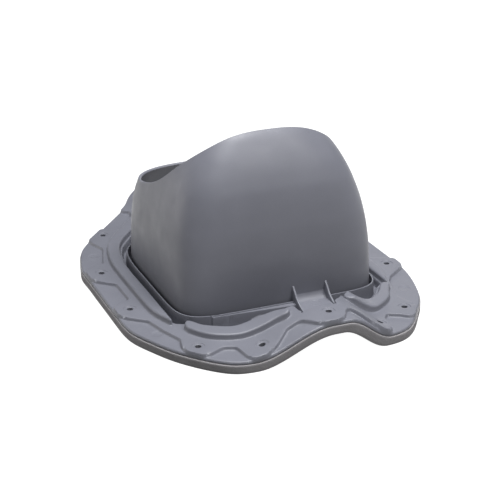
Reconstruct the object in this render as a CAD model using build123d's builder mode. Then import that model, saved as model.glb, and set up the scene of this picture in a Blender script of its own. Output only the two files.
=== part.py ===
from build123d import *
import math
import os

os.makedirs("parts", exist_ok=True)

# ------------------------------------------------------------------
# Roof pass-through flashing for a wavy metal-tile roof: a flange with
# screw tabs and water beads, a hood standing on it, and a sealing band.
# Frame: X across the slope, +Y up the slope, +Z away from the roof.
# Origin: middle of the flange, on the face that lies on the roof.
# ------------------------------------------------------------------

# Wave of the roof profile under the flange
WAVE_H = 24.1                # height of the crest over the trough
RAMP_L = (-71.5, 12.5)       # gentle flank, start and end in X
RAMP_R = (20.5, 70.5)        # steep flank, start and end in X
SHIFT_L, SHIFT_R = 0.216, 0.6  # sideways growth of the flanks per mm of height

# Levels over the roof, measured on the trough
SEAL_TOP = 9.5               # top of the sealing band, underside of the plate
PLATE_TOP = 13.0             # lower fields between the screw tabs
TAB_TOP = 16.5               # raised field with the screw tabs
BEAD_TOP = 22.8              # water beads
COLLAR_TOP = 24.5            # thin upstand round the hood's foot
GUTTER_TOP = 8.5             # gutter floor
FLOOR_BOTTOM = 5.0           # underside of the gutter floor
SHELF_TOP = 22.7             # shelf between the two gusset ribs

SEAL_BAND = 26.0             # width of the sealing band
WALL = 3.5                   # wall of the hood
COLLAR_GAP, COLLAR_T = 3.0, 2.2   # groove round the hood and its thin outer wall
SEAT = 9.0                   # bottom of the groove, where the hood stands

SCREW_R = 3.25               # screw holes

# Half-size of the flange, used to draw its inset outlines
HALF_X, HALF_Y = 167.5, 238.0

# Plan of the flange
CORNER_FL = [(-167.5, -99), (-164.3, -132), (-153.7, -158.5), (-141.3, -183),
             (-127.8, -202.4), (-109.0, -223), (-92.5, -234.5), (-73.5, -238)]
CORNER_FR = [(76.5, -238), (94.5, -233), (114.5, -216), (129.5, -196),
             (144.5, -174), (154.5, -150), (162.5, -122), (167.5, -85)]
SIDE_B = [(167.5, 35), (162.5, 58), (154.5, 85), (142.5, 105.5), (127.5, 124)]
CORNER_B = [(63.5, 202), (54.5, 217), (41.5, 229), (23.5, 236), (0.0, 238)]

# Lower fields between the screw tabs
FIELDS = {
    "back_left": [(-130.5, 155), (-113.5, 141), (-103.5, 132), (-88.5, 136),
                  (-67.5, 162), (-65.5, 177), (-77.5, 187), (-95.5, 202)],
    "left_rear": [(-155.5, 118), (-138.5, 106), (-129.5, 79), (-142.5, 37),
                  (-163.5, 30), (-185.5, 30), (-185.5, 118)],
    "left_mid": [(-185.5, 6), (-168.0, -1.3), (-145.5, -22), (-144.8, -64),
                 (-163.5, -72), (-185.5, -74)],
    "left_front": [(-185.5, -90), (-167.5, -100), (-143.0, -121), (-136.3, -147),
                   (-127.5, -172), (-133.9, -195.4), (-141.5, -212), (-185.5, -212)],
    "front_1": [(-127.5, -228), (-122.5, -219), (-94.5, -205), (-82.5, -209),
                (-80.0, -232), (-83.5, -255), (-127.5, -255)],
    "front_2": [(-57.5, -257), (-55.5, -237), (-42.5, -226), (-30.5, -215.5),
                (-16.5, -215), (-8.5, -227.5), (-2.5, -241), (-2.5, -257)],
    "front_3": [(19.5, -257), (21.0, -240), (30.5, -222), (36.5, -216.5),
                (49.2, -231.4), (64.5, -243), (70.5, -257)],
    "front_4": [(78.5, -257), (78.5, -235), (83.0, -209), (88.5, -201.5),
                (101.2, -208.5), (111.5, -218), (134.5, -236), (134.5, -257)],
    "right_front": [(132.5, -200), (124.1, -178), (120.0, -166), (131.9, -128.4),
                    (138.5, -119), (162.5, -101), (184.5, -94), (184.5, -200)],
    "right_mid": [(181.7, 6), (164.2, -1.3), (141.7, -22), (141.0, -64),
                  (159.7, -72), (181.7, -74)],
    "right_rear": [(151.7, 118), (134.7, 106), (125.7, 79), (138.7, 37),
                   (159.7, 30), (181.7, 30), (181.7, 118)],
    "back_right": [(130.5, 155), (113.5, 141), (103.5, 132), (88.5, 136),
                   (67.5, 162), (65.5, 177), (77.5, 187), (95.5, 202)],
    "back": [(-17.5, 260), (-17.5, 232), (-11.5, 222), (11.5, 222), (17.5, 232), (17.5, 260)],
}
FIELD_R = 3.0

# Screw holes, through the raised tabs
HOLES = [(-117.0, 118), (117.0, 118), (-151.0, 13.5), (151.0, 13.5),
         (-151.0, -86.2), (151.0, -86.2), (-116.25, -193), (113.75, -193),
         (-58.7, -218), (13.9, -216.2), (71.5, -218), (-45.5, 208), (45.5, 208)]

# Water beads: long bead round the back and both sides, crescent and hook in front
BEAD_OUT = [(-127.0, -137), (-133.5, -118), (-136.5, -90), (-137.0, -50), (-137.0, 0),
            (-136.0, 26), (-132.3, 49), (-125.5, 74), (-103.5, 110), (-65.5, 157),
            (-41.5, 180), (-19.5, 189.5), (-1.5, 191.5)]
BEAD_IN = [(-123.0, -138), (-123.0, -110), (-123.0, -50), (-123.0, 0), (-121.5, 24),
           (-116.5, 52), (-109.5, 72), (-89.5, 101), (-52.5, 146), (-32.5, 166),
           (-15.5, 174), (-1.5, 176)]
BEAD_AXIS = -1.5             # the long bead is symmetric about this X
CRESCENT = [(-115.0, -151), (-111.0, -172), (-100.5, -185), (-89.5, -191.7),
            (-76.5, -196), (-58.0, -197.7), (-43.0, -199), (-31.5, -200.3),
            (-22.5, -201), (-19.5, -196), (-23.9, -190.5), (-29.5, -186.0),
            (-38.9, -181.5), (-50.9, -178), (-72.3, -176), (-87.1, -169.5),
            (-100.5, -159), (-106.0, -150), (-110.5, -146.5)]
HOOK = [(46.0, -187.5), (48.0, -192), (51.5, -194.4), (56.5, -196), (69.5, -195.5),
        (81.0, -193.4), (93.3, -186.4), (108.0, -172), (117.5, -154), (121.5, -144.5),
        (115.5, -141), (109.5, -146), (102.0, -157), (89.5, -169), (80.5, -172.5),
        (70.5, -173), (60.5, -174), (52.5, -177.5), (47.5, -182.5)]
HOOK_END = 38.3              # top of the hook's flat left end

# Gutter between the beads and the hood
GUTTER = [(-121.8, -138), (-121.8, -50), (-121.8, 0), (-120.2, 24), (-115.2, 52),
          (-108.2, 71.5), (-88.4, 100), (-51.5, 145), (-31.8, 164.8), (-15.2, 172.8),
          (-1.5, 174.8), (12.2, 172.8), (28.8, 164.8), (48.5, 145), (85.4, 100),
          (105.2, 71.5), (112.2, 52), (117.2, 24), (118.8, 0), (118.8, -50),
          (118.8, -133), (112.5, -138), (107.5, -144), (100.0, -155), (88.5, -166.5),
          (80.5, -170), (70.5, -171), (60.0, -172), (51.5, -175.5), (45.0, -180.5),
          (42.0, -186), (37.0, -191), (30.0, -196.5), (28.5, -203.5), (-10.5, -203.5), (-11.0, -185.5),
          (-21.0, -183.5), (-30.0, -183), (-38.5, -179.8), (-50.5, -176), (-72.0, -174.3),
          (-86.3, -167.6), (-99.0, -157.6), (-104.5, -149), (-110.0, -144.5)]
GUTTER_WALL = 3.0

# Hood: outer sections (height, half width, front Y, back Y, front and back squareness, middle X)
DOME = [(SEAT, 110.9, -149.0, 73.0, 7.90, 4.5, -2.6), (20.0, 110.9, -148.9, 72.7, 7.85, 4.45, -2.6),
        (34.0, 110.8, -148.7, 72.4, 7.80, 4.4, -2.6),
        (48.0, 110.8, -148.4, 71.7, 7.40, 4.3, -2.5), (66.0, 111.0, -147.8, 70.6, 6.60, 4.2, -2.0),
        (84.0, 110.3, -146.5, 68.8, 5.80, 4.1, -1.7), (100.0, 108.8, -144.7, 66.1, 5.20, 3.9, -1.6),
        (115.0, 106.1, -142.0, 62.0, 4.80, 3.6, -1.6), (129.0, 102.2, -139.0, 57.0, 4.50, 3.4, -1.8),
        (142.0, 97.6, -135.4, 51.0, 4.30, 3.3, -2.0), (154.0, 92.2, -130.7, 44.0, 4.10, 3.1, -2.2),
        (165.0, 86.2, -125.6, 36.5, 3.85, 2.9, -2.4), (175.0, 79.4, -120.1, 28.6, 3.65, 2.8, -2.6),
        (184.0, 72.2, -114.4, 19.9, 3.45, 2.7, -2.6), (193.0, 62.9, -107.8, 8.8, 3.30, 2.6, -2.7),
        (203.0, 48.9, -97.2, -6.7, 2.90, 2.5, -2.7)]
# Rim of the opening in side view (Y, Z), from the low back to the high front
RIM = [(90.0, 115.0), (60.0, 115.2), (48.0, 115.6), (36.0, 116.2), (23.0, 117.2), (6.7, 120.2),
       (-6.5, 123.1), (-20.8, 127.1), (-30.5, 130.6), (-37.5, 133.9), (-47.2, 139.5), (-55.8, 145.6),
       (-62.9, 151.3), (-69.1, 156.6), (-74.3, 161.3), (-84.6, 170.2), (-94.0, 180.3), (-99.0, 188.0),
       (-101.4, 194.0), (-102.4, 200.0), (-103.0, 215.0)]

# Gusset ribs against the hood's front: foot at the wall, outer end
RIBS = {"left": ((6.5, -146.0), (6.5, -178.0)), "right": ((43.6, -146.0), (43.6, -178.0))}
RIB_T = 2.2
RIB_EDGE = [(0.0, 42.8), (3.0, 39.6), (7.5, 35.2), (13.0, 29.6), (19.5, 25.8), (26.5, 23.2), (32.0, 22.0)]

# Ledge in front of the collar, narrow at the left
LEDGE = [(-86.0, -152.5), (-86.0, -154.4), (6.5, -160.5), (6.5, -152.5)]
LEDGE_TOP = 23.4

BIG = 260.0


# ---------------------------------------------------------------- helpers
def ramp(t):
    return 0.5 - 0.5 * math.cos(math.pi * min(1.0, max(0.0, t)))


def wave_line(level, x0=-BIG, x1=BIG):
    """Section of a wavy surface at a level over the roof, drawn in X and Z."""
    l0, l1 = RAMP_L[0] - SHIFT_L * level, RAMP_L[1] - SHIFT_L * level
    r0, r1 = RAMP_R[0] + SHIFT_R * level, RAMP_R[1] + SHIFT_R * level
    n = 10
    left = [(l0 + (l1 - l0) * i / n, level + WAVE_H * ramp(i / n)) for i in range(n + 1)]
    right = [(r0 + (r1 - r0) * i / n, level + WAVE_H * ramp(1 - i / n)) for i in range(n + 1)]
    Line((x0, level), left[0])
    Spline(*left, tangents=[(1, 0), (1, 0)])
    Line(left[-1], right[0])
    Spline(*right, tangents=[(1, 0), (1, 0)])
    Line(right[-1], (x1, level))


def wave_slab(low, high):
    """Edges of the section between two wavy levels."""
    with BuildLine() as section:
        wave_line(low)
        wave_line(high)
        Line((BIG, low), (BIG, high))
        Line((-BIG, high), (-BIG, low))
    return section.edges()


def flange_outline(inset):
    """Edges of the flange's outline, drawn smaller by an inset."""
    kx, ky = (HALF_X - inset) / HALF_X, (HALF_Y - inset) / HALF_Y

    def s(pts):
        return [(x * kx, y * ky) for x, y in pts]

    fl, fr, sb, cb = s(CORNER_FL), s(CORNER_FR), s(SIDE_B), s(CORNER_B)
    diag = (cb[0][0] - sb[-1][0], cb[0][1] - sb[-1][1])
    sl = [(-x, y) for x, y in reversed(sb)]
    cl = [(-x, y) for x, y in reversed(cb)]
    with BuildLine() as rim:
        Spline(*fl, tangents=[(0, -1), (1, 0)])
        Line(fl[-1], fr[0])
        Spline(*fr, tangents=[(1, 0), (0, 1)])
        Line(fr[-1], sb[0])
        Spline(*sb, tangents=[(0, 1), diag])
        Line(sb[-1], cb[0])
        Spline(*cb, tangents=[diag, (-1, 0)])
        Spline(*cl, tangents=[(-1, 0), (diag[0], -diag[1])])
        Line(cl[-1], sl[0])
        Spline(*sl, tangents=[(diag[0], -diag[1]), (0, -1)])
        Line(sl[-1], fl[0])
    return rim.edges()


def long_bead_outline(grow=0.0):
    out = [(x - grow, y) for x, y in BEAD_OUT]
    inn = [(x + grow, y) for x, y in BEAD_IN]
    mir = [(2 * BEAD_AXIS - x, y) for x, y in reversed(out[:-1])]
    mir_in = [(2 * BEAD_AXIS - x, y) for x, y in reversed(inn[:-1])]
    with BuildLine() as bead:
        Spline(*(out + mir))
        Spline(*(inn + mir_in))
        ThreePointArc(out[0], ((out[0][0] + inn[0][0]) / 2, out[0][1] - 3.0), inn[0])
        a, b = mir[-1], mir_in[-1]
        ThreePointArc(a, ((a[0] + b[0]) / 2, a[1] - 3.0), b)
    return bead.edges()


def section_edges(row, shrink):
    """Edges of one horizontal section of the hood, a quarter at a time."""
    z, w, yf, yb, nf, nb, xc = row
    w, yf, yb = w - shrink, yf + shrink, yb - shrink
    yc, b = (yf + yb) / 2, (yb - yf) / 2
    steps = [math.radians(a) for a in (0, 0.4, 2, 6, 12, 20, 31, 45, 59, 70, 78, 84, 88, 89.6, 90)]

    def quarter(sx, sy):
        n = nf if sy < 0 else nb
        return [(xc + sx * w * abs(math.cos(a)) ** (2 / n), yc + sy * b * math.sin(a) ** (2 / n))
                for a in steps[:-1]] + [(xc, yc + sy * b)]

    with BuildLine() as section:
        Spline(*quarter(1, 1), tangents=[(0, 1), (-1, 0)])
        Spline(*reversed(quarter(-1, 1)), tangents=[(-1, 0), (0, -1)])
        Spline(*quarter(-1, -1), tangents=[(0, -1), (1, 0)])
        Spline(*reversed(quarter(1, -1)), tangents=[(1, 0), (0, 1)])
    return section.edges()


# ---------------------------------------------------------------- sealing band
with BuildPart() as edge_seal:
    with BuildSketch():
        make_face(flange_outline(0.0))
    extrude(amount=80)
    with BuildSketch():
        make_face(flange_outline(SEAL_BAND))
    extrude(amount=80, mode=Mode.SUBTRACT)
    with BuildSketch(Plane.XZ):
        make_face(wave_slab(0.0, SEAL_TOP))
    extrude(amount=300, both=True, mode=Mode.INTERSECT)
    for hx, hy in HOLES:
        with BuildSketch():
            with Locations((hx, hy)):
                Circle(SCREW_R)
        extrude(amount=90, mode=Mode.SUBTRACT)
edge_seal.part.label = "edge_seal"

# ---------------------------------------------------------------- flange plate
with BuildPart() as plate:
    with BuildSketch():
        make_face(flange_outline(0.8))
    extrude(amount=80)
    with BuildSketch(Plane.XZ):
        make_face(wave_slab(SEAL_TOP, PLATE_TOP))
    extrude(amount=300, both=True, mode=Mode.INTERSECT)

# Raised field with the screw tabs: the plate's outline less the lower fields
with BuildPart() as tabs:
    with BuildSketch():
        make_face(flange_outline(2.0))
    extrude(amount=80)
    for field in FIELDS.values():
        with BuildSketch() as lower:
            with BuildLine():
                Polyline(*field, close=True)
            make_face()
            fillet(lower.vertices(), radius=FIELD_R)
        extrude(amount=80, mode=Mode.SUBTRACT)
    with BuildSketch(Plane.XZ):
        make_face(wave_slab(SEAL_TOP + 1.0, TAB_TOP))
    extrude(amount=300, both=True, mode=Mode.INTERSECT)

# Water beads, standing on the raised field
with BuildPart() as beads:
    with BuildSketch():
        make_face(long_bead_outline())
    extrude(amount=80)
    for outline in (CRESCENT, HOOK):
        with BuildSketch():
            with BuildLine():
                Spline(*outline, periodic=True)
            make_face()
        extrude(amount=80)
    with BuildSketch(Plane.XZ):
        make_face(wave_slab(PLATE_TOP, BEAD_TOP))
    extrude(amount=300, both=True, mode=Mode.INTERSECT)
    with BuildSketch(Plane.XY.offset(HOOK_END)):
        with Locations((54.0, -186.0)):
            Rectangle(26.0, 34.0)
    extrude(amount=30, mode=Mode.SUBTRACT)

# Wall of the gutter where the crest of the wave stands over its floor
with BuildPart() as gutter_wall:
    with BuildSketch():
        with BuildLine():
            Polyline(*GUTTER, close=True)
        make_face()
        offset(amount=GUTTER_WALL, kind=Kind.INTERSECTION)
    extrude(amount=80)
    with BuildSketch(Plane.XZ):
        with BuildLine():
            Line((-BIG, FLOOR_BOTTOM), (BIG, FLOOR_BOTTOM))
            wave_line(TAB_TOP)
            Line((BIG, FLOOR_BOTTOM), (BIG, TAB_TOP))
            Line((-BIG, TAB_TOP), (-BIG, FLOOR_BOTTOM))
        make_face()
    extrude(amount=300, both=True, mode=Mode.INTERSECT)

# ---------------------------------------------------------------- hood
with BuildPart() as hood_inside:
    with BuildSketch():
        make_face(section_edges(DOME[0], WALL))
    for row in DOME:
        lean = 1.0 + 0.5 * max(0.0, (row[0] - 100.0) / 100.0)
        with BuildSketch(Plane.XY.offset(row[0])):
            make_face(section_edges(row, WALL * lean))
    loft()

with BuildPart() as hood:
    for row in DOME:
        with BuildSketch(Plane.XY.offset(row[0])):
            make_face(section_edges(row, 0.0))
    loft()
    # sloping mouth, open towards the upper side of the roof
    with BuildSketch(Plane.YZ):
        with BuildLine():
            Spline(*RIM)
            Line(RIM[-1], (RIM[-1][0], 260))
            Line((RIM[-1][0], 260), (RIM[0][0], 260))
            Line((RIM[0][0], 260), RIM[0])
        make_face()
    extrude(amount=200, both=True, mode=Mode.SUBTRACT)
    add(hood_inside.part, mode=Mode.SUBTRACT)
hood.part.label = "hood"

# Thin collar round the hood's foot, with a narrow groove between them
with BuildPart() as collar:
    with BuildSketch(Plane.XY.offset(FLOOR_BOTTOM)):
        make_face(section_edges(DOME[0], -COLLAR_GAP - COLLAR_T))
    extrude(amount=COLLAR_TOP - FLOOR_BOTTOM)
    # wedge-shaped ledge along the collar's front
    with BuildSketch(Plane.XY.offset(FLOOR_BOTTOM)):
        with BuildLine():
            Polyline(*LEDGE, close=True)
        make_face()
    extrude(amount=LEDGE_TOP - FLOOR_BOTTOM)
    with BuildSketch(Plane.XY.offset(SEAT)):
        make_face(section_edges(DOME[0], -COLLAR_GAP))
    extrude(amount=20, mode=Mode.SUBTRACT)

# Gusset ribs and the shelf between them, rising to the crest in front
with BuildPart() as ribs:
    for foot, end in RIBS.values():
        run = Vector(end[0] - foot[0], end[1] - foot[1], 0)
        rib_plane = Plane(origin=(foot[0], foot[1], 0), x_dir=run.normalized(),
                          z_dir=run.cross(Vector(0, 0, 1)).normalized())
        with BuildSketch(rib_plane):
            with BuildLine():
                Spline(*RIB_EDGE)
                Polyline((RIB_EDGE[-1][0], RIB_EDGE[-1][1]), (RIB_EDGE[-1][0], FLOOR_BOTTOM),
                         (0, FLOOR_BOTTOM), RIB_EDGE[0])
            make_face()
        extrude(amount=RIB_T / 2, both=True)

with BuildPart() as shelf:
    with BuildSketch():
        with BuildLine():
            Polyline((6.5, -146.0), (43.6, -146.0), (43.6, -177.0), (38.0, -190.0), (29.5, -197.0),
                     (28.5, -204.5), (6.5, -204.5), close=True)
        make_face()
    extrude(amount=80)
    with BuildSketch(Plane.YZ):
        with BuildLine():
            Polyline((-140.0, FLOOR_BOTTOM), (-140.0, 31.0), (-148.8, 31.0))
            Spline((-148.8, 31.0), (-149.8, 27.0), (-152.6, 23.8), (-157.0, SHELF_TOP))
            Polyline((-157.0, SHELF_TOP), (-177.0, SHELF_TOP), (-204.5, WAVE_H + TAB_TOP - 0.3),
                     (-204.5, FLOOR_BOTTOM), (-140.0, FLOOR_BOTTOM))
        make_face()
    extrude(amount=200, both=True, mode=Mode.INTERSECT)

# ---------------------------------------------------------------- flange in one piece
with BuildPart() as flange:
    add(plate.part)
    add(tabs.part)
    add(beads.part)
    # gutter, sunk to one level all round the hood
    with BuildSketch(Plane.XY.offset(-5)):
        with BuildLine():
            Polyline(*GUTTER, close=True)
        make_face()
    extrude(amount=120, mode=Mode.SUBTRACT)
    # gutter wall and floor
    add(gutter_wall.part)
    with BuildSketch(Plane.XY.offset(GUTTER_TOP)):
        with BuildLine():
            Polyline(*GUTTER, close=True)
        make_face()
    extrude(amount=80, mode=Mode.SUBTRACT)
    add(shelf.part)
    add(ribs.part)
    add(collar.part)
    # seat for the hood's foot, and the passage for the pipe through the floor
    with BuildSketch(Plane.XY.offset(SEAT)):
        make_face(section_edges(DOME[0], -0.4))
    extrude(amount=60, mode=Mode.SUBTRACT)
    with BuildSketch(Plane.XY.offset(-5)):
        make_face(section_edges(DOME[0], WALL))
    extrude(amount=60, mode=Mode.SUBTRACT)
    # screw holes
    for hx, hy in HOLES:
        with BuildSketch():
            with Locations((hx, hy)):
                Circle(SCREW_R)
        extrude(amount=90, mode=Mode.SUBTRACT)
flange.part.label = "flange"

export_step(flange.part, "parts/flange.step")
export_step(hood.part, "parts/hood.step")
export_step(edge_seal.part, "parts/edge_seal.step")
for piece in (flange.part, hood.part, edge_seal.part):
    box = piece.bounding_box()
    print(piece.label, len(piece.solids()), round(piece.volume), box.min, box.max)
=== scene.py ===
import math

import bpy
import numpy as np
from mathutils import Matrix, Vector
from mathutils.geometry import delaunay_2d_cdt
from mathutils.kdtree import KDTree


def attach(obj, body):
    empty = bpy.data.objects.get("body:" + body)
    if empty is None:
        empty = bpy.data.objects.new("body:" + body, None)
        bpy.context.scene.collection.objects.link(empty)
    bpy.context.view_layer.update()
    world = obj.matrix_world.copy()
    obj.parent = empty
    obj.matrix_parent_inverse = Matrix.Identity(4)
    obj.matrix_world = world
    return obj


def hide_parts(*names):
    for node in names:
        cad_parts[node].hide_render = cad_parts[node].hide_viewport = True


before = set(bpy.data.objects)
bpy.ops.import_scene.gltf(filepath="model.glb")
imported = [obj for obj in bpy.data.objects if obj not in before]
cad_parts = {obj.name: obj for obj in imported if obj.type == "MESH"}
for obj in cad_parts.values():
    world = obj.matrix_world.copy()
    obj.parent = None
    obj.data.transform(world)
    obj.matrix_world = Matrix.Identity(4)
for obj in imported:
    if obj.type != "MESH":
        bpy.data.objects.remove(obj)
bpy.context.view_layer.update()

MM = 0.001

# ------------------------------------------------------------------ sizes, in mm
WAVE_H = 24.1
RAMP_L, RAMP_R = (-71.5, 12.5), (20.5, 70.5)
SHIFT_L, SHIFT_R = 0.216, 0.6
SEAL_TOP, PLATE_TOP, TAB_TOP = 9.5, 13.0, 16.5
BEAD_LIFT = 6.3
GUTTER_Z = 8.5
COLLAR_TOP, SEAT = 24.5, 9.0
LEDGE_TOP = 23.4
SHELF_Z = 22.7
WALL = 3.5
HALF_X, HALF_Y = 167.5, 238.0
SCREW_R, SPOT_R = 3.25, 6.75

CORNER_FL = [(-167.5, -99), (-164.3, -132), (-153.7, -158.5), (-141.3, -183),
             (-127.8, -202.4), (-109.0, -223), (-92.5, -234.5), (-73.5, -238)]
CORNER_FR = [(76.5, -238), (94.5, -233), (114.5, -216), (129.5, -196),
             (144.5, -174), (154.5, -150), (162.5, -122), (167.5, -85)]
SIDE_B = [(167.5, 35), (162.5, 58), (154.5, 85), (142.5, 105.5), (127.5, 124)]
CORNER_B = [(63.5, 202), (54.5, 217), (41.5, 229), (23.5, 236), (0.0, 238)]

FIELDS = [
    [(-130.5, 155), (-113.5, 141), (-103.5, 132), (-88.5, 136),
     (-67.5, 162), (-65.5, 177), (-77.5, 187), (-95.5, 202)],
    [(-155.5, 118), (-138.5, 106), (-129.5, 79), (-142.5, 37),
     (-163.5, 30), (-185.5, 30), (-185.5, 118)],
    [(-185.5, 6), (-168.0, -1.3), (-145.5, -22), (-144.8, -64),
     (-163.5, -72), (-185.5, -74)],
    [(-185.5, -90), (-167.5, -100), (-143.0, -121), (-136.3, -147),
     (-127.5, -172), (-133.9, -195.4), (-141.5, -212), (-185.5, -212)],
    [(-127.5, -228), (-122.5, -219), (-94.5, -205), (-82.5, -209),
     (-80.0, -232), (-83.5, -255), (-127.5, -255)],
    [(-57.5, -257), (-55.5, -237), (-42.5, -226), (-30.5, -215.5),
     (-16.5, -215), (-8.5, -227.5), (-2.5, -241), (-2.5, -257)],
    [(19.5, -257), (21.0, -240), (30.5, -222), (36.5, -216.5),
     (49.2, -231.4), (64.5, -243), (70.5, -257)],
    [(78.5, -257), (78.5, -235), (83.0, -209), (88.5, -201.5),
     (101.2, -208.5), (111.5, -218), (134.5, -236), (134.5, -257)],
    [(132.5, -200), (124.1, -178), (120.0, -166), (131.9, -128.4),
     (138.5, -119), (162.5, -101), (184.5, -94), (184.5, -200)],
    [(181.7, 6), (164.2, -1.3), (141.7, -22), (141.0, -64),
     (159.7, -72), (181.7, -74)],
    [(151.7, 118), (134.7, 106), (125.7, 79), (138.7, 37),
     (159.7, 30), (181.7, 30), (181.7, 118)],
    [(130.5, 155), (113.5, 141), (103.5, 132), (88.5, 136),
     (67.5, 162), (65.5, 177), (77.5, 187), (95.5, 202)],
    [(-17.5, 260), (-17.5, 232), (-11.5, 222), (11.5, 222), (17.5, 232), (17.5, 260)],
]
HOLES = [(-117.0, 118), (117.0, 118), (-151.0, 13.5), (151.0, 13.5),
         (-151.0, -86.2), (151.0, -86.2), (-116.25, -193), (113.75, -193),
         (-58.7, -218), (13.9, -216.2), (71.5, -218), (-45.5, 208), (45.5, 208)]
BEAD_OUT = [(-127.0, -137), (-133.5, -118), (-136.5, -90), (-137.0, -50), (-137.0, 0),
            (-136.0, 26), (-132.3, 49), (-125.5, 74), (-103.5, 110), (-65.5, 157),
            (-41.5, 180), (-19.5, 189.5), (-1.5, 191.5)]
BEAD_IN = [(-123.0, -138), (-123.0, -110), (-123.0, -50), (-123.0, 0), (-121.5, 24),
           (-116.5, 52), (-109.5, 72), (-89.5, 101), (-52.5, 146), (-32.5, 166),
           (-15.5, 174), (-1.5, 176)]
BEAD_AXIS = -1.5
CRESCENT = [(-115.0, -151), (-111.0, -172), (-100.5, -185), (-89.5, -191.7),
            (-76.5, -196), (-58.0, -197.7), (-43.0, -199), (-31.5, -200.3),
            (-22.5, -201), (-19.5, -196), (-23.9, -190.5), (-29.5, -186.0),
            (-38.9, -181.5), (-50.9, -178), (-72.3, -176), (-87.1, -169.5),
            (-100.5, -159), (-106.0, -150), (-110.5, -146.5)]
HOOK = [(46.0, -187.5), (48.0, -192), (51.5, -194.4), (56.5, -196), (69.5, -195.5),
        (81.0, -193.4), (93.3, -186.4), (108.0, -172), (117.5, -154), (121.5, -144.5),
        (115.5, -141), (109.5, -146), (102.0, -157), (89.5, -169), (80.5, -172.5),
        (70.5, -173), (60.5, -174), (52.5, -177.5), (47.5, -182.5)]
HOOK_END = 38.3
GUTTER = [(-121.8, -138), (-121.8, -50), (-121.8, 0), (-120.2, 24), (-115.2, 52),
          (-108.2, 71.5), (-88.4, 100), (-51.5, 145), (-31.8, 164.8), (-15.2, 172.8),
          (-1.5, 174.8), (12.2, 172.8), (28.8, 164.8), (48.5, 145), (85.4, 100),
          (105.2, 71.5), (112.2, 52), (117.2, 24), (118.8, 0), (118.8, -50),
          (118.8, -133), (112.5, -138), (107.5, -144), (100.0, -155), (88.5, -166.5),
          (80.5, -170), (70.5, -171), (60.0, -172), (51.5, -175.5), (45.0, -180.5),
          (42.0, -186), (37.0, -191), (30.0, -196.5), (28.5, -203.5), (-10.5, -203.5), (-11.0, -185.5),
          (-21.0, -183.5), (-30.0, -183), (-38.5, -179.8), (-50.5, -176), (-72.0, -174.3),
          (-86.3, -167.6), (-99.0, -157.6), (-104.5, -149), (-110.0, -144.5)]
SHELF = [(6.5, -140.0), (43.6, -140.0), (43.6, -177.0), (38.0, -190.0), (29.5, -197.0), (28.5, -206.0), (6.5, -206.0)]

LEDGE = [(-86.0, -150.5), (-86.0, -154.4), (6.5, -160.5), (6.5, -150.5)]

DOME = np.array([(SEAT, 110.9, -149.0, 73.0, 7.90, 4.5, -2.6), (20.0, 110.9, -148.9, 72.7, 7.85, 4.45, -2.6),
                 (34.0, 110.8, -148.7, 72.4, 7.80, 4.4, -2.6),
                 (48.0, 110.8, -148.4, 71.7, 7.40, 4.3, -2.5), (66.0, 111.0, -147.8, 70.6, 6.60, 4.2, -2.0),
                 (84.0, 110.3, -146.5, 68.8, 5.80, 4.1, -1.7), (100.0, 108.8, -144.7, 66.1, 5.20, 3.9, -1.6),
                 (115.0, 106.1, -142.0, 62.0, 4.80, 3.6, -1.6), (129.0, 102.2, -139.0, 57.0, 4.50, 3.4, -1.8),
                 (142.0, 97.6, -135.4, 51.0, 4.30, 3.3, -2.0), (154.0, 92.2, -130.7, 44.0, 4.10, 3.1, -2.2),
                 (165.0, 86.2, -125.6, 36.5, 3.85, 2.9, -2.4), (175.0, 79.4, -120.1, 28.6, 3.65, 2.8, -2.6),
                 (184.0, 72.2, -114.4, 19.9, 3.45, 2.7, -2.6), (193.0, 62.9, -107.8, 8.8, 3.30, 2.6, -2.7),
                 (203.0, 48.9, -97.2, -6.7, 2.90, 2.5, -2.7)])
RIM = np.array([(90.0, 115.0), (60.0, 115.2), (48.0, 115.6), (36.0, 116.2), (23.0, 117.2), (6.7, 120.2),
                (-6.5, 123.1), (-20.8, 127.1), (-30.5, 130.6), (-37.5, 133.9), (-47.2, 139.5), (-55.8, 145.6),
                (-62.9, 151.3), (-69.1, 156.6), (-74.3, 161.3), (-84.6, 170.2), (-94.0, 180.3), (-99.0, 188.0),
                (-101.4, 194.0), (-102.4, 200.0), (-103.0, 215.0)])
RIBS = [((6.5, -146.0), (6.5, -178.0)), ((43.6, -146.0), (43.6, -178.0))]
RIB_T = 2.2
RIB_EDGE = [(0.0, 42.8), (3.0, 39.6), (7.5, 35.2), (13.0, 29.6), (19.5, 25.8), (26.5, 23.2), (32.0, 22.0)]
# faint round marks left by the mould: x, y
MARKS = [(-142.9, 69.0), (-142.5, -146.4), (139.5, -146.7), (26.0, -161.5)]


# ------------------------------------------------------------------ curves
def ramp(t):
    return 0.5 - 0.5 * np.cos(np.pi * np.clip(t, 0.0, 1.0))


def wave_z(x, lv):
    """Height of the roof-following surface at a level over the roof."""
    l0, l1 = RAMP_L[0] - SHIFT_L * lv, RAMP_L[1] - SHIFT_L * lv
    r0, r1 = RAMP_R[0] + SHIFT_R * lv, RAMP_R[1] + SHIFT_R * lv
    return lv + WAVE_H * (ramp((x - l0) / (l1 - l0)) - ramp((x - r0) / (r1 - r0)))


def soft_step(t):
    t = np.clip(t, 0.0, 1.0)
    return np.where(t < 0.5, 2 * t * t, 1 - 2 * (1 - t) ** 2)


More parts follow.
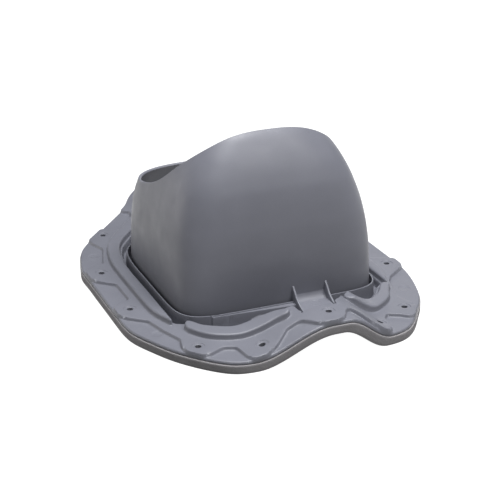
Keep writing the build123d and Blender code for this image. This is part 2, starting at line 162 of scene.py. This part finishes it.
def pchip(xs, ys):
    """Monotone cubic through points with rising xs."""
    xs, ys = np.asarray(xs, float), np.asarray(ys, float)
    h, d = np.diff(xs), np.diff(ys) / np.diff(xs)
    m = np.zeros(len(xs))
    for i in range(1, len(xs) - 1):
        if d[i - 1] * d[i] > 0:
            w1, w2 = 2 * h[i] + h[i - 1], h[i] + 2 * h[i - 1]
            m[i] = (w1 + w2) / (w1 / d[i - 1] + w2 / d[i])
    m[0], m[-1] = d[0], d[-1]

    def at(x):
        x = np.clip(x, xs[0], xs[-1])
        i = np.clip(np.searchsorted(xs, x, side="right") - 1, 0, len(xs) - 2)
        t = (x - xs[i]) / h[i]
        return ((2 * t ** 3 - 3 * t ** 2 + 1) * ys[i] + (t ** 3 - 2 * t ** 2 + t) * h[i] * m[i]
                + (-2 * t ** 3 + 3 * t ** 2) * ys[i + 1] + (t ** 3 - t ** 2) * h[i] * m[i + 1])
    return at


def cubic(pts, closed, fine=0.5):
    """Smooth curve through points, closely sampled."""
    q = np.array(pts, float)
    if closed:
        q = np.vstack([q, q[:1]])
    h = np.linalg.norm(np.diff(q, axis=0), axis=1)
    n = len(q)
    if closed:
        k = n - 1
        a, r = np.zeros((k, k)), np.zeros((k, 2))
        for i in range(k):
            hm, hp = h[i - 1], h[i]
            a[i, i - 1] += hm
            a[i, i] += 2 * (hm + hp)
            a[i, (i + 1) % k] += hp
            r[i] = 6 * ((q[i + 1] - q[i]) / hp - (q[i] - q[i - 1 if i else n - 2]) / hm)
        m = np.linalg.solve(a, r)
        m = np.vstack([m, m[:1]])
    else:
        a, r = np.eye(n), np.zeros((n, 2))
        for i in range(1, n - 1):
            a[i, i - 1], a[i, i], a[i, i + 1] = h[i - 1], 2 * (h[i - 1] + h[i]), h[i]
            r[i] = 6 * ((q[i + 1] - q[i]) / h[i] - (q[i] - q[i - 1]) / h[i - 1])
        m = np.linalg.solve(a, r)
    out = []
    for i in range(n - 1):
        c = max(2, int(h[i] / fine))
        t = np.linspace(0, 1, c, endpoint=False)[:, None]
        out.append(q[i] * (1 - t) + q[i + 1] * t
                   + h[i] ** 2 / 6 * (((1 - t) ** 3 - (1 - t)) * m[i] + (t ** 3 - t) * m[i + 1]))
    if not closed:
        out.append(q[-1:])
    return np.vstack(out)


def resample(poly, step):
    """Closed polyline, evenly spaced."""
    q = np.vstack([poly, poly[:1]])
    s = np.r_[0, np.cumsum(np.linalg.norm(np.diff(q, axis=0), axis=1))]
    n = max(8, int(round(s[-1] / step)))
    t = np.arange(n) * s[-1] / n
    return np.column_stack([np.interp(t, s, q[:, 0]), np.interp(t, s, q[:, 1])])


def rounded(pts, r):
    """Closed polygon with rounded corners."""
    p = np.array(pts, float)
    out = []
    for i in range(len(p)):
        a, b, c = p[i - 1], p[i], p[(i + 1) % len(p)]
        u, v = a - b, c - b
        lu, lv = np.linalg.norm(u), np.linalg.norm(v)
        u, v = u / lu, v / lv
        half = 0.5 * math.acos(max(-1.0, min(1.0, float(u @ v))))
        t = min(r / max(0.05, math.tan(half)), 0.45 * lu, 0.45 * lv)
        for k in np.linspace(0, 1, 9):
            out.append((1 - k) ** 2 * (b + u * t) + 2 * k * (1 - k) * b + k ** 2 * (b + v * t))
    return np.array(out)


def ccw(poly):
    x, y = poly.T
    area = 0.5 * np.sum(x * np.roll(y, -1) - np.roll(x, -1) * y)
    return poly if area > 0 else poly[::-1]


def sdf(poly, p, far=40.0):
    """Signed distance to a closed polygon, negative inside; far points get a rough value."""
    out = np.full(len(p), far)
    lo, hi = poly.min(0) - far, poly.max(0) + far
    near = np.nonzero(((p > lo) & (p < hi)).all(1))[0]
    a, b = poly, np.roll(poly, -1, 0)
    ab = b - a
    ab2 = np.maximum((ab * ab).sum(1), 1e-12)
    dy = np.where(np.abs(ab[:, 1]) < 1e-12, 1e-12, ab[:, 1])
    for i in range(0, len(near), 3000):
        idx = near[i:i + 3000]
        x, y = p[idx, 0][:, None], p[idx, 1][:, None]
        apx, apy = x - a[:, 0], y - a[:, 1]
        t = np.clip((apx * ab[:, 0] + apy * ab[:, 1]) / ab2, 0, 1)
        d = np.sqrt(((apx - t * ab[:, 0]) ** 2 + (apy - t * ab[:, 1]) ** 2).min(1))
        cross = (a[:, 1] > y) != (b[:, 1] > y)
        hit = cross & (x < a[:, 0] + (y - a[:, 1]) * ab[:, 0] / dy)
        out[idx] = np.where(hit.sum(1) % 2 == 1, -d, d)
    return out


def normals_2d(poly):
    """Outward normals of a counter-clockwise closed polyline."""
    t = np.roll(poly, -1, 0) - np.roll(poly, 1, 0)
    n = np.column_stack([t[:, 1], -t[:, 0]])
    return n / np.linalg.norm(n, axis=1)[:, None]


def offset_rows(poly, dists, step):
    """Points beside a closed outline at signed distances, without those that fold over."""
    q = resample(poly, step)
    n = normals_2d(q)
    ref = resample(poly, 1.5)
    rows = []
    for d in dists:
        c = q + n * d
        rows.append(c[np.abs(sdf(ref, c) - d) < 0.08 + 0.04 * abs(d)])
    return np.vstack(rows)


def flange_outline(inset):
    kx, ky = (HALF_X - inset) / HALF_X, (HALF_Y - inset) / HALF_Y

    def line(a, b, n=6):
        return [(a[0] + (b[0] - a[0]) * i / n, a[1] + (b[1] - a[1]) * i / n) for i in range(1, n)]

    sl = [(-x, y) for x, y in reversed(SIDE_B)]
    cl = [(-x, y) for x, y in reversed(CORNER_B)][1:]
    pts = (CORNER_FL + line(CORNER_FL[-1], CORNER_FR[0]) + CORNER_FR
           + line(CORNER_FR[-1], SIDE_B[0]) + SIDE_B + line(SIDE_B[-1], CORNER_B[0])
           + CORNER_B + cl + line(cl[-1], sl[0]) + sl + line(sl[-1], CORNER_FL[0]))
    return cubic([(x * kx, y * ky) for x, y in pts], True)


def dome_section(row, grow, a):
    """Horizontal section of the hood, grown outward by an amount, at angles a."""
    z, w, yf, yb, nf, nb, xc = row
    w, yf, yb = w + grow, yf - grow, yb + grow
    c, s = np.cos(a), np.sin(a)
    n = np.where(s < 0, nf, nb)
    yc, b = (yf + yb) / 2, (yb - yf) / 2
    return np.column_stack([xc + w * np.sign(c) * np.abs(c) ** (2 / n),
                            yc + b * np.sign(s) * np.abs(s) ** (2 / n)])


def even_angles(count):
    a = np.linspace(0, 2 * math.pi, 7201)
    p = dome_section(DOME[3], 0.0, a)
    s = np.r_[0, np.cumsum(np.linalg.norm(np.diff(p, axis=0), axis=1))]
    return np.interp(np.arange(count) * s[-1] / count, s, a)


# ------------------------------------------------------------------ mesh helpers
def new_object(name, verts_mm, faces, material, smooth=True):
    me = bpy.data.meshes.new(name)
    me.from_pydata([tuple(v) for v in np.asarray(verts_mm) * MM], [], [tuple(map(int, f)) for f in faces])
    me.validate()
    me.update()
    if smooth:
        me.polygons.foreach_set("use_smooth", [True] * len(me.polygons))
        me.set_sharp_from_angle(angle=math.radians(38.0))
    me.materials.append(material)
    ob = bpy.data.objects.new(name, me)
    bpy.context.scene.collection.objects.link(ob)
    return ob


def lofted(rings, close_rows):
    """Quads between rings of equal length; each ring is closed."""
    n = len(rings[0])
    faces = []
    m = len(rings)
    for i in range(m if close_rows else m - 1):
        a, b = i * n, ((i + 1) % m) * n
        for j in range(n):
            k = (j + 1) % n
            faces.append((a + j, a + k, b + k, b + j))
    return np.vstack(rings), faces


# ------------------------------------------------------------------ materials
def nodes_of(mat):
    mat.use_nodes = True
    nt = mat.node_tree
    return nt, nt.nodes["Principled BSDF"]


def noise(nt, coord, scale, detail, rough=0.55):
    n = nt.nodes.new("ShaderNodeTexNoise")
    n.inputs["Scale"].default_value = scale
    n.inputs["Detail"].default_value = detail
    n.inputs["Roughness"].default_value = rough
    nt.links.new(coord, n.inputs["Vector"])
    return n.outputs["Fac"]


def scaled(nt, fac, low, high):
    m = nt.nodes.new("ShaderNodeMapRange")
    m.inputs["From Min"].default_value = 0.3
    m.inputs["From Max"].default_value = 0.7
    m.inputs["To Min"].default_value = low
    m.inputs["To Max"].default_value = high
    nt.links.new(fac, m.inputs["Value"])
    return m.outputs["Result"]


def mixed(nt, fac, a, b):
    m = nt.nodes.new("ShaderNodeMix")
    m.data_type = "RGBA"
    for sock, v in ((m.inputs[6], a), (m.inputs[7], b)):
        if isinstance(v, tuple):
            sock.default_value = (*v, 1.0)
        else:
            nt.links.new(v, sock)
    nt.links.new(fac, m.inputs[0])
    return m.outputs[2]


def plastic(name, dark, light):
    """Satin moulded plastic: slow mottling, fine grain, uneven gloss."""
    mat = bpy.data.materials.new(name)
    nt, bsdf = nodes_of(mat)
    coord = nt.nodes.new("ShaderNodeTexCoord").outputs["Object"]
    cloud = scaled(nt, noise(nt, coord, 22.0, 3.0), 0.0, 1.0)
    base = mixed(nt, cloud, dark, light)
    grain = scaled(nt, noise(nt, coord, 1400.0, 2.0), 0.0, 0.32)
    speck = tuple(c * 0.86 for c in dark)
    nt.links.new(mixed(nt, grain, base, speck), bsdf.inputs["Base Color"])
    nt.links.new(scaled(nt, noise(nt, coord, 60.0, 4.0), 0.40, 0.52), bsdf.inputs["Roughness"])
    bsdf.inputs["IOR"].default_value = 1.49
    bsdf.inputs["Specular IOR Level"].default_value = 0.5
    bump = nt.nodes.new("ShaderNodeBump")
    bump.inputs["Strength"].default_value = 0.12
    bump.inputs["Distance"].default_value = 0.0002
    nt.links.new(noise(nt, coord, 1100.0, 3.0), bump.inputs["Height"])
    nt.links.new(bump.outputs["Normal"], bsdf.inputs["Normal"])
    return mat


def foam(name, dark, light):
    """Matte closed-cell sealing band: fine cells, slightly dusty."""
    mat = bpy.data.materials.new(name)
    nt, bsdf = nodes_of(mat)
    coord = nt.nodes.new("ShaderNodeTexCoord").outputs["Object"]
    cloud = scaled(nt, noise(nt, coord, 45.0, 4.0), 0.0, 1.0)
    base = mixed(nt, cloud, dark, light)
    cells = nt.nodes.new("ShaderNodeTexVoronoi")
    cells.inputs["Scale"].default_value = 900.0
    nt.links.new(coord, cells.inputs["Vector"])
    pores = scaled(nt, cells.outputs["Distance"], 0.35, 0.0)
    nt.links.new(mixed(nt, pores, base, tuple(c * 0.7 for c in dark)), bsdf.inputs["Base Color"])
    nt.links.new(scaled(nt, noise(nt, coord, 80.0, 3.0), 0.72, 0.88), bsdf.inputs["Roughness"])
    bsdf.inputs["IOR"].default_value = 1.45
    bump = nt.nodes.new("ShaderNodeBump")
    bump.inputs["Strength"].default_value = 0.3
    bump.inputs["Distance"].default_value = 0.0003
    nt.links.new(cells.outputs["Distance"], bump.inputs["Height"])
    nt.links.new(bump.outputs["Normal"], bsdf.inputs["Normal"])
    return mat


GREY = plastic("grey_plastic", (0.143, 0.146, 0.170), (0.157, 0.160, 0.186))
SEAL = foam("seal_foam", (0.270, 0.260, 0.267), (0.312, 0.300, 0.309))

# ------------------------------------------------------------------ plan outlines
PLATE = ccw(resample(flange_outline(0.8), 2.0))
fields = [ccw(resample(rounded(f, 6.0), 1.2)) for f in FIELDS]
bead_out = cubic(BEAD_OUT + [(2 * BEAD_AXIS - x, y) for x, y in reversed(BEAD_OUT[:-1])], False)
bead_in = cubic(BEAD_IN + [(2 * BEAD_AXIS - x, y) for x, y in reversed(BEAD_IN[:-1])], False)


def end_cap(a, b, drop):
    t = np.linspace(0, math.pi, 9)[1:-1]
    mid, half = (a + b) / 2, (b - a) / 2
    return np.array([mid - half * math.cos(k) + np.array([0, -drop]) * math.sin(k) for k in t])


LONG_BEAD = ccw(resample(np.vstack([bead_out, end_cap(bead_out[-1], bead_in[-1], 3.0),
                                    bead_in[::-1], end_cap(bead_in[0], bead_out[0], 3.0)]), 1.5))
beads = [LONG_BEAD, ccw(resample(cubic(CRESCENT, True), 1.5)), ccw(resample(cubic(HOOK, True), 1.5))]
gutter = ccw(resample(rounded(GUTTER, 6.0), 2.0))
shelf = ccw(resample(rounded(SHELF, 2.0), 1.5))
ledge = ccw(resample(np.array(LEDGE), 1.5))
ANG = even_angles(320)
foot = ccw(resample(dome_section(DOME[0], 0.0, even_angles(1600)), 1.6))
inner_loop = ccw(resample(dome_section(DOME[0], -1.6, even_angles(1600)), 2.4))


def shelf_z(y):
    """Shelf between the ribs: curves up into the hood's wall, rises to the crest in front."""
    t = np.clip((y + 157.0) / 8.2, 0.0, 1.0)
    z = SHELF_Z + 8.3 * (1 - np.sqrt(np.clip(1 - t * t, 0, 1)))
    rise = WAVE_H + TAB_TOP - SHELF_Z
    return z + rise * np.clip((-177.0 - y) / 27.5, 0, 1)


BEAD_ROUND = 2.3


def bead_lift(d):
    """Cross-section of a bead over its inside distance d: upright sides, rounded top edge."""
    foot_z = 0.9 * np.clip((d + 0.9) / 0.9, 0, 1) ** 2
    side = 0.9 + (BEAD_LIFT - BEAD_ROUND - 0.9) * np.clip(d / 0.45, 0, 1)
    t = np.clip((d - 0.45) / BEAD_ROUND, 0, 1)
    top = BEAD_ROUND * np.sqrt(np.clip(1 - (1 - t) ** 2, 0, 1))
    return np.where(d <= 0, foot_z, side + np.where(d > 0.45, top, 0.0))


def tab_inside(d_field, d_out):
    """Distance inside the raised field, with rounded tips where a tab meets the outline."""
    r = 8.5
    a, b = d_field, d_out + 0.2
    return np.where((a < r) & (b < r), r - np.hypot(np.maximum(r - a, 0), np.maximum(r - b, 0)), np.minimum(a, b))


def top_z(p):
    """Height of the flange's upper side."""
    x, y = p.T
    d_out = -sdf(PLATE, p)
    d_field = np.full(len(p), 40.0)
    for f in fields:
        d_field = np.minimum(d_field, sdf(f, p))
    d_bead = [-sdf(b, p) for b in beads]
    d_gut = -sdf(gutter, p)
    d_foot = sdf(foot, p)
    raised = soft_step((tab_inside(d_field, d_out) + 0.9) / 2.2)
    edge = np.clip(2.0 - d_out, 0, 2.0)
    drop = 2.0 - np.sqrt(np.clip(2.0 ** 2 - edge ** 2, 0, None))
    lv = PLATE_TOP + (TAB_TOP - PLATE_TOP) * raised - drop
    ground = wave_z(x, lv)
    z = ground
    for k, d in enumerate(d_bead):
        lift = bead_lift(d)
        up = wave_z(x, lv + lift)
        if k == 2:
            # the hook's left end has a level top
            cap = ground + np.clip(HOOK_END - ground, 0.8, None) * lift / BEAD_LIFT
            up = np.where(x < 64.0, np.minimum(up, cap), up)
        z = np.where(lift > 0, np.maximum(z, up), z)
    sunk = soft_step(d_gut / 2.0)
    z = z * (1 - sunk) + np.minimum(GUTTER_Z, z) * sunk
    # collar round the hood's foot
    wall = soft_step((d_foot - 2.8) / 0.5) * soft_step((5.6 - d_foot) / 0.9)
    ring = np.where(d_foot < 4.1, SEAT + (COLLAR_TOP - SEAT) * wall, GUTTER_Z + (COLLAR_TOP - GUTTER_Z) * wall)
    z = np.where(d_foot < 5.7, np.maximum(ring, GUTTER_Z), z)
    # wedge-shaped ledge along the collar's front
    on_ledge = soft_step((0.6 - sdf(ledge, p)) / 1.2) * (d_foot > 4.1)
    z = np.where(on_ledge > 0, np.maximum(z, GUTTER_Z + (LEDGE_TOP - GUTTER_Z) * on_ledge), z)
    # shelf between the ribs
    in_shelf = soft_step((0.6 - sdf(shelf, p)) / 1.2)
    z = np.where(in_shelf > 0, z * (1 - in_shelf) + np.maximum(shelf_z(y), np.minimum(z, shelf_z(y))) * in_shelf, z)
    # rings round the screw holes and marks of the mould
    for hx, hy in HOLES:
        r = np.hypot(x - hx, y - hy)
        z = z - 0.5 * soft_step((SPOT_R - r) / 0.45) - 0.35 * soft_step((SCREW_R + 0.7 - r) / 0.7)
    for mx, my in MARKS:
        r = np.hypot(x - mx, y - my)
        z = z - 0.3 * soft_step((6.4 - r) / 0.4)
    return z


# ------------------------------------------------------------------ flange
def circle(c, r, n=28):
    t = np.arange(n) * 2 * math.pi / n
    return np.column_stack([c[0] + r * np.cos(t), c[1] + r * np.sin(t)])


def triangulate(loops, inside_pts):
    """Constrained triangulation between closed loops (first one is the outer)."""
    verts = np.vstack(loops + [inside_pts])
    edges, k = [], 0
    for lp in loops:
        n = len(lp)
        edges += [(k + i, k + (i + 1) % n) for i in range(n)]
        k += n
    out, _, tris, *_ = delaunay_2d_cdt([Vector((float(a), float(b))) for a, b in verts], edges, [], 0, 1e-4, False)
    v = np.array([(c.x, c.y) for c in out])
    t = np.array([f for f in tris if len(f) == 3])
    mid = v[t].mean(1)
    keep = sdf(loops[0], mid) < 0
    for lp in loops[1:]:
        keep &= sdf(lp, mid) > 0
    return v, t[keep]


def fill_points(feature, loops, spacing, clear):
    """Feature points without near-doubles, and a grid where there are none."""
    key = np.unique(np.round(feature / 0.14).astype(int), axis=0, return_index=True)[1]
    pts = feature[np.sort(key)]
    ok = sdf(loops[0], pts) < -clear
    for lp in loops[1:]:
        ok &= sdf(lp, pts) > clear
    pts = pts[ok]
    cell = {tuple(c) for c in np.floor(np.vstack([pts] + loops) / spacing).astype(int)}
    gx = np.arange(-HALF_X, HALF_X, spacing)
    gy = np.arange(-HALF_Y, HALF_Y, spacing)
    grid = np.array([(x + (spacing / 2 if j % 2 else 0), y) for j, y in enumerate(gy) for x in gx])
    free = np.array([tuple(c) not in cell for c in np.floor(grid / spacing).astype(int)])
    grid = grid[free]
    ok = sdf(loops[0], grid) < -1.0
    for lp in loops[1:]:
        ok &= sdf(lp, grid) > 1.0
    return np.vstack([pts, grid[ok]])


hole_loops = [circle(h, SCREW_R) for h in HOLES]
loops = [PLATE, inner_loop] + hole_loops
feature = [offset_rows(f, (-0.9, -0.45, -0.05, 0.2, 0.6, 1.0, 1.35), 1.3) for f in fields]
feature += [offset_rows(b, (0.9, 0.5, 0.15, 0.0, -0.45, -0.6, -0.9, -1.4, -2.0, -2.75), 1.3) for b in beads]
feature += [offset_rows(gutter, (0.0, -0.4, -0.8, -1.2, -1.6, -2.0), 1.6)]
feature += [offset_rows(foot, (0.0, 2.78, 2.95, 3.15, 3.32, 4.1, 4.68, 4.9, 5.15, 5.4, 5.62, 6.4), 1.5)]
feature += [offset_rows(shelf, (-0.6, -0.3, 0.0, 0.3, 0.6), 1.5)]
feature += [offset_rows(ledge, (-0.7, -0.3, 0.0, 0.3, 0.6), 1.5)]
feature += [offset_rows(PLATE, (-0.15, -0.5, -0.9, -1.3, -1.7, -2.1, -2.6, -3.2), 1.6)]
gx, gy = np.meshgrid(np.arange(4.0, 46.0, 1.6), np.arange(-206.0, -146.0, 1.6))
feature += [np.column_stack([gx.ravel(), gy.ravel()])]
for h in HOLES:
    feature += [circle(h, SCREW_R + 0.35), circle(h, SCREW_R + 0.7), circle(h, SPOT_R - 0.45, 40),
                circle(h, SPOT_R, 40), circle(h, SPOT_R + 0.5, 40)]
for m in MARKS:
    feature += [circle(m, 6.0, 36), circle(m, 6.4, 36), circle(m, 6.9, 36)]
pts = fill_points(np.vstack(feature), loops, 3.2, 0.3)
v2, tri = triangulate(loops, pts)
z2 = top_z(v2)
top = np.column_stack([v2, z2])


def finder(points):
    tree = KDTree(len(points))
    for i, (x, y) in enumerate(points):
        tree.insert((x, y, 0.0), i)
    tree.balance()
    return lambda x, y: tree.find((x, y, 0.0))[1:]


def build_flange():
    verts, faces = list(map(tuple, top)), [tuple(t) for t in tri]
    nearest = finder(v2)

    def strip(start, ring):
        base = len(verts)
        verts.extend(map(tuple, ring))
        n = len(ring)
        for i in range(n):
            j = (i + 1) % n
            faces.append((start[j], start[i], base + i, base + j))
        return list(range(base, base + n))

    # outer edge, holes and passage, down to the underside
    ids = [nearest(x, y)[0] for x, y in PLATE]
    nrm = normals_2d(PLATE)
    for inset, lv in ((0.0, 10.2), (0.25, 9.75), (0.9, 9.5)):
        q = PLATE - nrm * inset
        ids = strip(ids, np.column_stack([q, wave_z(q[:, 0], lv)]))
    under_loops = [PLATE - nrm * 0.9]
    under_ids = list(ids)
    for lp in [inner_loop] + hole_loops:
        ids = [nearest(x, y)[0] for x, y in lp]
        low = np.minimum(wave_z(lp[:, 0], SEAL_TOP), top_z(lp) - 3.0)
        ids = strip(ids[::-1], np.column_stack([lp, low])[::-1])
        under_loops.append(lp)
        under_ids += ids[::-1]
    # underside
    extra = fill_points(np.vstack([offset_rows(gutter, (0.0, -2.6), 6.0), offset_rows(foot, (8.0,), 8.0)]),
                        under_loops, 9.0, 1.0)
    w2, wt = triangulate(under_loops, extra)
    zb = np.minimum(wave_z(w2[:, 0], SEAL_TOP), top_z(w2) - 3.0)
    on_loop = finder(np.vstack(under_loops))
    remap = []
    for (x, y), z in zip(w2, zb):
        i, gap = on_loop(x, y)
        if gap < 0.02:
            remap.append(under_ids[i])
        else:
            remap.append(len(verts))
            verts.append((x, y, z))
    faces.extend((remap[c], remap[b], remap[a]) for a, b, c in wt)
    return np.array(verts), faces


fv, ff = build_flange()
flange = new_object("flange_skin", fv, ff, GREY)

# ------------------------------------------------------------------ gusset ribs
rib_v, rib_f = [], []
edge = pchip([e[0] for e in RIB_EDGE], [e[1] for e in RIB_EDGE])
for a, b in RIBS:
    a, b = np.array(a), np.array(b)
    run = (b - a) / np.linalg.norm(b - a)
    side = np.array([-run[1], run[0]])
    rings = []
    for s in np.linspace(0.0, 32.0, 30):
        h = float(edge(s))
        wide = RIB_T / 2
        prof = [(-wide - 0.5, 9.0), (-wide - 0.2, 18.0), (-wide, h - 0.8), (-wide * 0.8, h - 0.3),
                (-wide * 0.4, h - 0.05), (wide * 0.4, h - 0.05), (wide * 0.8, h - 0.3),
                (wide, h - 0.8), (wide + 0.2, 18.0), (wide + 0.5, 9.0)]
        rings.append(np.array([(*(a + run * s + side * u), z) for u, z in prof]))
    v, f = lofted(rings, False)
    k = len(rib_v) and sum(len(q) for q in rib_v)
    n = len(rings[0])
    f = list(f) + [tuple(range(n))[::-1], tuple(range((len(rings) - 1) * n, len(rings) * n))]
    rib_v.append(v)
    rib_f += [tuple(i + k for i in q) for q in f]
ribs = new_object("gusset_ribs", np.vstack(rib_v), rib_f, GREY)

# ------------------------------------------------------------------ hood
sec = [pchip(DOME[:, 0], DOME[:, i]) for i in range(1, 7)]
rim_z = pchip(RIM[::-1, 0], RIM[::-1, 1])


def hood_points(a, z):
    w, yf, yb, nf, nb, xc = (f(z) for f in sec)
    c, s = np.cos(a), np.sin(a)
    n = np.where(s < 0, nf, nb)
    yc, b = (yf + yb) / 2, (yb - yf) / 2
    return np.stack([xc + w * np.sign(c) * np.abs(c) ** (2 / n),
                     yc + b * np.sign(s) * np.abs(s) ** (2 / n), z], -1)


low, high = np.full(len(ANG), 60.0), np.full(len(ANG), 203.0)
for _ in range(50):
    mid = (low + high) / 2
    above = mid > rim_z(hood_points(ANG, mid)[:, 1])
    high, low = np.where(above, mid, high), np.where(above, low, mid)
RIM_TOP = (low + high) / 2 - 1.0
ROWS = 96
grid_a = np.broadcast_to(ANG, (ROWS, len(ANG)))
grid_z = (SEAT + 0.02) + (RIM_TOP - SEAT) * np.linspace(0, 1, ROWS)[:, None]
outer = hood_points(grid_a, grid_z)
du = np.roll(outer, -1, 1) - np.roll(outer, 1, 1)
dv = np.gradient(outer, axis=0)
nor = np.cross(du, dv)
nor /= np.linalg.norm(nor, axis=-1)[..., None]
inner = outer - nor * WALL
lip = dv[-1] / np.linalg.norm(dv[-1], axis=-1)[:, None]
rings = [r for r in outer]
for t in np.linspace(0, 1, 9)[1:-1]:
    rings.append(outer[-1] * (1 - t) + inner[-1] * t + lip * 1.0 * math.sin(math.pi * t) ** 0.6)
rings += [r for r in inner[::-1][::2]]
rings.append(inner[0])
hv, hf = lofted(rings, True)
hood = new_object("hood_skin", hv, hf, GREY)

# ------------------------------------------------------------------ sealing band
prof = [(0.7, 9.36), (0.25, 9.1), (0.0, 8.6), (0.0, 6.8), (0.0, 5.0), (0.0, 3.2), (0.0, 1.0),
        (0.3, 0.3), (1.0, 0.0), (13.0, 0.0), (25.2, 0.0), (26.0, 0.6), (26.0, 9.0), (25.4, 9.4), (13.0, 9.4)]
base = resample(flange_outline(0.0), 2.0)
rings = []
for inset, lv in prof:
    q = base * np.array([(HALF_X - inset) / HALF_X, (HALF_Y - inset) / HALF_Y])
    rings.append(np.column_stack([q, wave_z(q[:, 0], lv)]))
sv, sf = lofted(rings, True)
seal = new_object("seal_band", sv, sf, SEAL)

for ob, node, slot in ((flange, "flange", "grey_plastic"), (ribs, "flange", "grey_plastic"),
                       (hood, "hood", "grey_plastic"), (seal, "edge_seal", "seal_foam")):
    bm_mesh = ob.data
    bm_mesh.update()
    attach(ob, "root")
    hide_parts(node)

# faces point outward everywhere
for ob in (flange, ribs, hood, seal):
    bpy.context.view_layer.objects.active = ob
    for o in bpy.context.selected_objects:
        o.select_set(False)
    ob.select_set(True)
    bpy.ops.object.mode_set(mode="EDIT")
    bpy.ops.mesh.select_all(action="SELECT")
    bpy.ops.mesh.normals_make_consistent(inside=False)
    bpy.ops.object.mode_set(mode="OBJECT")
    ob.select_set(False)

# ------------------------------------------------------------------ stage
floor_mat = bpy.data.materials.new("pale_floor")
nt, bsdf = nodes_of(floor_mat)
bsdf.inputs["Base Color"].default_value = (0.16, 0.16, 0.16, 1.0)
bsdf.inputs["Roughness"].default_value = 0.9
bsdf.inputs["Emission Color"].default_value = (1.0, 1.0, 1.0, 1.0)
bsdf.inputs["Emission Strength"].default_value = 1.0
floor = new_object("floor", np.array([(-9000, -9000, -0.2), (9000, -9000, -0.2), (9000, 9000, -0.2), (-9000, 9000, -0.2)]),
                   [(0, 1, 2, 3)], floor_mat, smooth=False)
floor.visible_diffuse = False

scene = bpy.context.scene
world = bpy.data.worlds.new("studio")
scene.world = world
world.use_nodes = True
world.node_tree.nodes["Background"].inputs["Color"].default_value = (0.95, 0.97, 1.0, 1.0)
world.node_tree.nodes["Background"].inputs["Strength"].default_value = 0.10


def area(name, pos, target, size, power, colour=(1, 1, 1)):
    light = bpy.data.lights.new(name, "AREA")
    light.shape = "RECTANGLE"
    light.size, light.size_y = size
    light.energy = power
    light.color = colour
    ob = bpy.data.objects.new(name, light)
    ob.location = Vector(pos)
    ob.rotation_euler = (Vector(target) - Vector(pos)).to_track_quat("-Z", "Y").to_euler()
    scene.collection.objects.link(ob)
    return ob


area("overhead", (0.05, -0.30, 2.0), (0.0, -0.1, 0.0), (1.2, 1.2), 71.0, (0.97, 0.98, 1.0))
area("front_soft", (0.70, -1.28, 1.50), (0.0, -0.1, 0.12), (0.55, 0.55), 11.0, (1.0, 0.99, 0.98))
area("left_soft", (-1.6, 1.1, 0.35), (0.0, 0.0, 0.05), (0.9, 0.6), 6.5, (1.0, 0.97, 0.94))
area("right_soft", (1.2, 1.6, 0.45), (0.0, 0.0, 0.1), (0.8, 0.8), 2.5, (1.0, 0.98, 0.96))

cam_data = bpy.data.cameras.new("camera")
cam_data.sensor_width = 36.0
cam_data.lens = 93.97
cam_data.clip_start, cam_data.clip_end = 0.05, 50.0
cam = bpy.data.objects.new("camera", cam_data)
right, up, forward = Vector((0.91977, -0.39246, 0.0)), Vector((0.15335, 0.35938, 0.9205)), Vector((0.36126, 0.84665, -0.39073))
m = Matrix.Identity(4)
for i in range(3):
    m[i][0], m[i][1], m[i][2] = right[i], up[i], -forward[i]
m[0][3], m[1][3], m[2][3] = -0.5164, -1.2601, 0.6015
cam.matrix_world = m
scene.collection.objects.link(cam)
scene.camera = cam
scene.view_settings.view_transform = "Standard"
scene.view_settings.look = "None"
